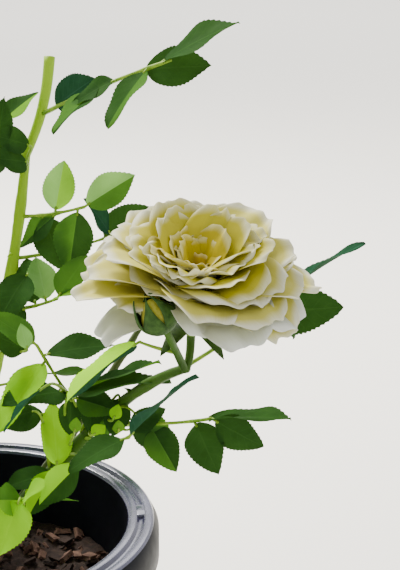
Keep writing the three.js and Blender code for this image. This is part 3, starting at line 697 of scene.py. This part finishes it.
def growLeaflets(dice):  # two pairs and an end one, as in the frame
    look = sprayLook
    entries = []
    for pair in look["pairs"]:
        for hand in (1, -1):
            spread = hand * vary(dice, *look["spread"])
            lift = vary(dice, *look["lift"])
            length = look["leaflet"] * (look["pairShare"][0] + look["pairShare"][1] * pair)
            entries.append((pair, spread, lift, hand * look["roll"], length * vary(dice, *look["size"])))
    spread = sway(dice, look["endSpread"])
    entries.append((1, spread, look["endLift"], 0, look["leaflet"] * vary(dice, *look["endSize"])))
    return entries


def leafletMiddle(foot, along, up, length):
    side = along.cross(up).normalized()
    top = side.cross(along)
    sink, share = leafletLook["sink"], leafletLook["middle"]
    span = length + sink
    return foot + along * (share * span - sink) - top * (leafletLook["droop"] * span * share ** 2)


def makeSprays():
    look = sprayLook
    blades, stalks = Shape(list(leafFinishes.values())), Shape([twigSkin])
    for number, (name, (limb, at, heading, rise, length, count)) in enumerate(sprays.items()):
        dice = makeDice(1000 + 77 * number)
        distance = nearNode(name)
        start = limbCurves[limb](at)
        ahead = aim(heading, rise)
        middle = start + ahead * (0.5 * length) + worldUp * look["bow"]
        stem = bezier([start, middle, start + ahead * length])
        stalks.rod(stem, lambda share: mix(*look["stem"], share), 8, 10, 0)
        across = ahead.cross(worldUp).normalized()
        over = across.cross(ahead)
        for i in range(count):
            turn = math.radians(look["goldenTurn"] * i + look["turn"] * dice())
            lean = math.radians(look["endLean"] if i == count - 1 else vary(dice, *look["lean"]))
            outward = across * math.cos(turn) + over * math.sin(turn)
            forward = ahead * math.cos(lean) + outward * math.sin(lean)
            reach = look["reach"] * vary(dice, *look["reachShare"])
            root = stem(mix(look["firstLeaf"], 1, i / (count - 1)))
            end = root + forward * reach
            outside = Vector((end.x, end.y, 0)).normalized()
            face = worldUp + outside * (look["outward"] * vary(dice, *look["outwardShare"]))
            joints = []
            for entry in growLeaflets(dice):
                curve, along, up = leafletFrame(root, end, face, look["sag"], entry)
                foot = curve(entry[0])
                if distance(leafletMiddle(foot, along, up, entry[4])) < look["near"]:
                    joints.append(entry[0])
                    tint = sprayTints[(number * 3 + i * 2 + len(joints)) % len(sprayTints)]
                    addLeaflet(blades, foot, along, up, entry[4], tint, "far", number + i)
                    addFoot(stalks, foot, along, 0.5, 5, 1)
            if joints:
                addStalk(stalks, curve, 0.8, joints)
    blades.finish("spray_blades", list(sprays), "leaf")
    stalks.finish("spray_stalks", [], "leaf")


makeSprays()
print("sprays made")

# Bloom: rings of petals from the outside in, with their count and turn, and hanging petals with their
# heading. Each has its kind, length, width, mean rise, arch (how much steeper a petal starts and flatter
# it ends, in degrees) and the height of its root
bloomRings = [
    (9, 2, "outer", 43.5, 27, 19, 36, 11),
    (9, 26, "outer", 42, 26, 25, 36, 11.5),
    (10, 8, "outer", 39, 25, 32, 36, 12),
    (11, 28, "middle", 35, 22, 40, 36, 12.5),
    (11, 6, "middle", 32, 19, 49, 34, 13),
    (11, 30, "inner", 29, 16, 58, 32, 13.5),
    (10, 10, "inner", 24, 13, 67, 30, 14),
    (9, 36, "heart", 18, 10, 72, 28, 15),
    (9, 16, "heart", 17, 6, 62, 62, 15),
    (6, 50, "heart", 14, 5, 78, 58, 16),
]
hangingPetals = [
    (218, "shaded", 35, 21, 4, 30, 8),
    (207, "outer", 38, 22, 16, 34, 10),
    (278, "shaded", 37, 22, 19, 38, 10),
    (300, "shaded", 39, 24, 19, 40, 10),
    (328, "shaded", 40, 24, 16, 42, 10),
]
petalLook = {
    "thick": 0.3, "rows": 16, "columns": 16, "steps": 24, "foot": 2.4, "fullLength": 42,
    "cup": 0.14, "ruffle": 1.5, "crinkle": 0.7, "notch": 0.06, "notchWidth": 0.22, "curl": 1.6, "round": 0.11,
    "frontLean": -1, "backLean": 12, "outerSideLean": -7, "innerSideLean": 5, "outerRise": 30,
    "leftReach": -0.05, "budHeading": 244, "budSpan": 33, "budLift": 24, "budShort": 0.45,
    "budRises": (15, 45),
}
# How much the petals differ: a width to sway in, or a base and what chance adds to it
petalChance = {
    "heading": 16, "length": (0.9, 0.16), "width": (0.9, 0.3), "lean": 8, "arch": (0.8, 0.4), "twist": 24,
    "skew": 0.12, "phase": 6.3, "waves": (2.4, 2.6), "notchPlace": 0.5, "ruffle": (0.6, 0.8),
    "curl": (-0.3, 1.6),
}
petalWildness = {"outer": 1, "middle": 1.5, "inner": 2, "heart": 2.5, "shaded": 1}
petalKinds = list(petalWildness)
leanTurn = worldUp.rotation_difference(bloomAxis.normalized())


def toBloom(point):
    return bloomSeat + leanTurn @ point


def petalWidth(along):  # a narrow claw, widest at two thirds, and broad at the tip
    if along < 0.65:
        return 0.14 + 0.86 * math.sin(0.5 * math.pi * along / 0.65) ** 0.9
    return 1 - 0.34 * ((along - 0.65) / 0.35) ** 2


def petalLean(rise, heading):  # the bloom's back stands higher than its front
    look = petalLook
    back = math.sin(math.radians(heading))
    sideLean = look["innerSideLean" if rise > look["outerRise"] else "outerSideLean"]
    return mix(sideLean, look["backLean"] if back > 0 else look["frontLean"], back * back)


def addPetal(shape, petal, heading, dice):
    look, chance = petalLook, petalChance
    kind, length, width, meanRise, arch, root = petal
    wild = petalWildness[kind]
    heading += sway(dice, chance["heading"] * wild)
    length *= vary(dice, *chance["length"])
    length *= 1 + look["leftReach"] * max(0, -math.cos(math.radians(heading))) ** 2
    width *= vary(dice, *chance["width"])
    lean = petalLean(meanRise, heading) + sway(dice, chance["lean"] * wild)
    apart = (heading - look["budHeading"] + 180) % 360 - 180
    if look["budRises"][0] < meanRise < look["budRises"][1]:
        besideBud = math.exp(-(apart / look["budSpan"]) ** 4)
        lean += look["budLift"] * besideBud
        length *= 1 - look["budShort"] * besideBud
    arch *= vary(dice, *chance["arch"])
    rises = (meanRise + lean + arch, meanRise + lean - arch)
    twist = math.tan(math.radians(sway(dice, chance["twist"])))
    skew = sway(dice, chance["skew"])
    phase, phaseAlong = chance["phase"] * dice(), chance["phase"] * dice()
    waves = vary(dice, *chance["waves"])
    notch, notchAt = look["notch"] * dice(), sway(dice, chance["notchPlace"])
    size = 0.4 + 0.6 * length / look["fullLength"]
    ruffle = look["ruffle"] * size * vary(dice, *chance["ruffle"])
    curl = look["curl"] * size * vary(dice, *chance["curl"])
    steps = look["steps"]
    path = [Vector((look["foot"], 0, root))]
    for n in range(steps):
        rise = math.radians(mix(*rises, (n + 0.5) / steps))
        path.append(path[-1] + Vector((math.cos(rise), 0, math.sin(rise))) * (length / steps))
    out = aim(heading, 0)
    side = aim(heading + 90, 0)

    def place(share, across):
        edge = abs(across)
        dent = notch * math.exp(-((across - notchAt) / look["notchWidth"]) ** 2)
        dent += 0.012 * math.sin(across * 11 + phase)
        corner = (look["round"] + skew * across) * edge ** 2.6 * share * share
        reach = share * (1 - corner - dent * share ** 6)
        exact = max(0, min(reach, 1)) * steps
        n = min(int(exact), steps - 1)
        spot = path[n].lerp(path[n + 1], exact - n)
        rise = math.radians(mix(*rises, reach) + 90)
        flat = 0.5 * width * petalWidth(share) * across
        bend = look["cup"] * abs(flat) * edge * (1.6 - share)
        wave = math.sin(across * waves * 1.6 + phase + share * 2)
        bend += ruffle * share ** 3 * (0.25 + 0.75 * edge) * wave
        bend += look["crinkle"] * share ** 2 * math.sin(across * 8 + phase) * math.sin(share * 9 + phaseAlong)
        bend += twist * flat - curl * max(share - 0.72, 0) ** 2 * 12
        point = out * (spot.x + math.cos(rise) * bend) + side * flat
        point.z = spot.z + math.sin(rise) * bend
        return toBloom(point)

    shape.sheet(look["rows"], look["columns"], [petalKinds.index(kind)], place)


def makeBloom():
    shape = Shape([petalFinishes[name] for name in petalKinds + ["under"]])
    dice = makeDice(4242)
    for heading, *petal in hangingPetals:
        addPetal(shape, petal, heading, dice)
    for count, turn, *petal in bloomRings:
        for i in range(count):
            addPetal(shape, petal, turn + 360 / count * i, dice)
    shape.finish("bloom_petals", ["bloom"], "petal", levels=1, thick=petalLook["thick"],
                 under=len(petalKinds))


# Calyx: the hip under the petals, as height and radius, and sepals that lie back from it
calyxLook = {"hip": [(0, 1.6), (1, 2.6), (2.5, 3.7), (4.5, 4.2), (6.5, 3.8), (8, 2.6)], "sepals": 5,
             "turn": 20, "start": 3, "length": 15, "top": 7, "fall": 6, "half": 3}


def makeCalyx():
    look = calyxLook
    shape = Shape([sepalSkin, twigSkin])

    def wall(along, around):
        height, radius = profileAt(look["hip"], along)
        return toBloom(polar(radius if along < 1 else 0, math.pi * around, height))

    shape.sheet(14, 16, [1], wall)
    for i in range(look["sepals"]):
        heading = look["turn"] + 360 / look["sepals"] * i
        out, side = aim(heading, 0), aim(heading + 90, 0)

        def sepal(share, across):
            reach = look["start"] + look["length"] * share
            height = look["top"] - look["fall"] * share ** 1.6 - 0.5 * across * across
            half = look["half"] * math.sin(math.pi * (0.1 + 0.9 * share) ** 0.7) ** 0.8 if share < 1 else 0
            return toBloom(out * reach + side * (half * across) + worldUp * height)

        shape.sheet(10, 4, [0], sepal)
    shape.finish("bloom_calyx", [], "sepal")


makeBloom()
makeCalyx()
print("bloom made")

# Bud: an egg of closed petals in five sepals, one of them a little open
budLook = {"radius": 6.3, "length": 13.6, "inside": 0.9, "insideLength": 0.96, "sepals": 5, "turn": 40,
           "half": 46, "lift": 0.35, "openSepal": 2, "open": 3.2, "tip": 1.5, "thick": 0.3}


def makeBud():
    look = budLook
    shape = Shape([sepalSkin, budPetal])
    turnTo = worldUp.rotation_difference(budAxis.normalized())
    length, radius = look["length"], look["radius"]

    def girth(share):
        return radius * math.sin(math.pi * min(max(share, 0), 1) ** 0.8) ** 0.75

    def egg(along, around):
        size = look["inside"] * girth(along) if 0 < along < 1 else 0
        return budSeat + turnTo @ polar(size, math.pi * around, along * length * look["insideLength"])

    shape.sheet(18, 20, [1], egg)
    for i in range(look["sepals"]):
        heading = math.radians(look["turn"] + 360 / look["sepals"] * i)
        gape = look["open"] if i == look["openSepal"] else 0

        def sepal(share, across):
            half = math.radians(look["half"]) * (1 - share ** 1.7) ** 0.8 * across if share < 1 else 0
            size = girth(share * 0.97) + look["lift"] - 0.25 * across * across + gape * share ** 3
            height = share * (length + look["tip"] * share ** 4)
            return budSeat + turnTo @ polar(size, heading + half, height)

        shape.sheet(14, 6, [0], sepal)
    shape.finish("bud_piece", ["bud"], "sepal", thick=look["thick"])


makeBud()
print("bud made")

# Pot: the frame's profile, with tabs across the rim's groove. The shine is how far down the rim is glossy and
# carries a painted bluish reflection in its lighter base colour
potLook = {
    "height": 135, "rim": 80, "foot": 56, "wall": 2.4, "floor": 3, "flange": 11, "drop": 17, "flare": 2,
    "lip": 5, "corner": 2, "groove": 3.4, "depth": 1.6, "edge": 0.9, "steps": 128, "sharp": 0.5,
    "bevel": 0.35, "shine": 2.8,
}
tabLook = {"count": 4, "turn": 7, "width": 10, "over": 1.8, "high": 2.8, "down": 1.6, "bevel": 0.5}


def innerRadius(height):
    look = potLook
    return mix(look["foot"] - look["wall"], look["rim"] - look["flange"], height / look["height"])


def potProfile():
    look = potLook
    top, foot, rim, edge, floor = (look[key] for key in ("height", "foot", "rim", "edge", "floor"))
    skirt, inner, low = rim + look["flare"], rim - look["flange"], top - look["depth"]
    ridge = 0.5 * (look["flange"] - look["groove"])
    under = top - look["lip"] - look["wall"]
    inset, corner = skirt - look["wall"], look["corner"]
    return [
        (0, 0), (foot - edge, 0), (foot, edge), (innerRadius(under) + look["wall"], under), (inset, under),
        (inset, top - look["drop"]), (skirt, top - look["drop"]), (skirt, top - look["lip"]),
        (rim, top - edge), (rim - edge, top), (rim - ridge, top), (rim - ridge - edge, low),
        (inner + ridge + edge, low), (inner + ridge, top), (inner + edge, top), (inner, top - edge),
        (innerRadius(floor + corner), floor + corner), (innerRadius(floor) - corner, floor), (0, floor),
    ]


def roundEdges(bm, edges, offset):
    bmesh.ops.bevel(bm, geom=edges, affect="EDGES", offset=offset, segments=2, profile=0.5, material=-1)


def makePot():
    look, tab = potLook, tabLook
    bm = bmesh.new()
    points = [bm.verts.new((radius, 0, height)) for radius, height in potProfile()]
    edges = [bm.edges.new(pair) for pair in zip(points, points[1:])]
    bmesh.ops.spin(bm, geom=points + edges, cent=(0, 0, 0), axis=(0, 0, 1), angle=2 * math.pi,
                   steps=look["steps"], use_merge=True, use_duplicate=False)
    bmesh.ops.remove_doubles(bm, verts=bm.verts, dist=weldGap)
    bmesh.ops.recalc_face_normals(bm, faces=bm.faces)
    sharp = [edge for edge in bm.edges
             if len(edge.link_faces) == 2 and edge.calc_face_angle(0) > look["sharp"]]
    roundEdges(bm, sharp, look["bevel"])
    ring = look["rim"] - 0.5 * look["flange"]
    tabSize = (look["groove"] + tab["over"], tab["width"], tab["high"])
    for i in range(tab["count"]):
        turn = math.radians(tab["turn"] + 360 / tab["count"] * i)
        block = bmesh.ops.create_cube(bm, size=1)["verts"]
        bmesh.ops.scale(bm, vec=tabSize, verts=block)
        bmesh.ops.translate(bm, vec=(ring, 0, look["height"] - tab["down"]), verts=block)
        bmesh.ops.rotate(bm, cent=(0, 0, 0), matrix=Matrix.Rotation(turn, 3, "Z"), verts=block)
        roundEdges(bm, list(dict.fromkeys(edge for vert in block for edge in vert.link_edges)), tab["bevel"])
    # Faces in the top band take the rim finish with its painted reflection
    for face in bm.faces:
        face.smooth = True
        face.material_index = int(face.calc_center_median().z > look["height"] - look["shine"])
    piece = makeObject("pot_shell", bm, [potPlastic, potRimPaintedReflection])
    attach(piece, "root")
    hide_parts("pot")


makePot()
print("pot made")

# Soil: a crumbly top, with the scale and size of its lumps, and chips of bark lying on it
soilLook = {"edge": 66.2, "rim": 8, "sunk": 2.2, "rough": 0.9, "dome": 0.00025, "rows": 70, "columns": 150,
            "lumps": ((0.06, 1.6), (0.22, 1.2), (0.7, 0.6))}
chipLook = {"count": 520, "reach": 63, "size": (1.2, 3.6), "long": 1.5, "high": 0.45, "uneven": (0.8, 0.4),
            "up": 0.25, "bark": 0.6}


def soilHeight(x, y):
    look = soilLook
    point = Vector((x, y, 0))
    rough = sum(noise.noise(point * scale) * size for scale, size in look["lumps"])
    return soilTop - look["sunk"] + look["rough"] * rough - look["dome"] * (x * x + y * y)


def makeSoil():
    look, chip = soilLook, chipLook
    shape = Shape([soilCrumbs, barkChips])

    def ground(along, around):
        radius, turn = look["edge"] * along, math.pi * around
        x, y = radius * math.cos(turn), radius * math.sin(turn)
        return Vector((x, y, soilHeight(x, y) if along < 1 else soilTop - look["rim"]))

    shape.sheet(look["rows"], look["columns"], [0], ground)
    dice = makeDice(808)
    for _ in range(chip["count"]):
        radius, turn = chip["reach"] * math.sqrt(dice()), 360 * dice()
        spot = aim(turn, 0) * radius
        size = chip["size"][0] + chip["size"][1] * dice() ** 2
        flat, tilt = aim(360 * dice(), vary(dice, -30, 60)), aim(360 * dice(), 50)
        other = flat.cross(tilt).normalized()
        top = other.cross(flat)
        spot += worldUp * (soilHeight(spot.x, spot.y) + chip["up"] * size)
        made = bmesh.ops.create_cube(shape.bm, size=1)["verts"]
        slot = 1 if dice() < chip["bark"] else 0
        for vert in made:
            x, y, z = vert.co * vary(dice, *chip["uneven"])
            vert.co = (spot + flat * (x * size * chip["long"]) + other * (y * size)
                       + top * (z * size * chip["high"]))
        for face in facesOf(made):
            face.material_index = slot
    shape.finish("soil_bed", ["soil"], "soil")


makeSoil()
print("soil made")

# Floor and light. Places are in metres. A light without an aim shines on the plant
studio = {
    "floor": (0.93, 0.91, 0.86, 1), "floorSize": 6, "world": (1, 0.99, 0.96, 1), "worldStrength": 1.2,
    "plant": (0.05, -0.05, 0.22),
    "lights": [
        {"name": "key", "place": (-0.5, 0.85, 1.3), "size": 0.5, "power": 66, "colour": (1, 0.96, 0.88)},
        {"name": "backdrop", "place": (0.1, 3.4, 2.6), "aim": (0.1, 3.8, 0), "size": 3.2, "power": 120,
         "colour": (1, 0.99, 0.96)},
        {"name": "fill", "place": (0.9, -1.1, 0.9), "size": 1.4, "power": 2, "colour": (0.92, 0.95, 1)},
    ],
}


def makeStudio():
    bm = bmesh.new()
    bmesh.ops.create_grid(bm, x_segments=1, y_segments=1, size=studio["floorSize"] / mm)
    paint = plainFinish("floor_paint", studio["floor"], studio["floor"], 3, 0.9, 0.02)
    floor = makeObject("floor", bm, [paint])
    world = bpy.data.worlds.new("studio")
    world.use_nodes = True
    background = world.node_tree.nodes["Background"]
    background.inputs["Color"].default_value = studio["world"]
    background.inputs["Strength"].default_value = studio["worldStrength"]
    bpy.context.scene.world = world
    for light in studio["lights"]:
        data = bpy.data.lights.new(light["name"], "AREA")
        data.size = light["size"]
        data.energy = light["power"]
        data.color = light["colour"]
        lamp = addObject(light["name"], data)
        lamp.location = light["place"]
        aimAt = Vector(light.get("aim", studio["plant"])) - lamp.location
        lamp.rotation_euler = aimAt.to_track_quat("-Z", "Y").to_euler()


makeStudio()
print("studio made")
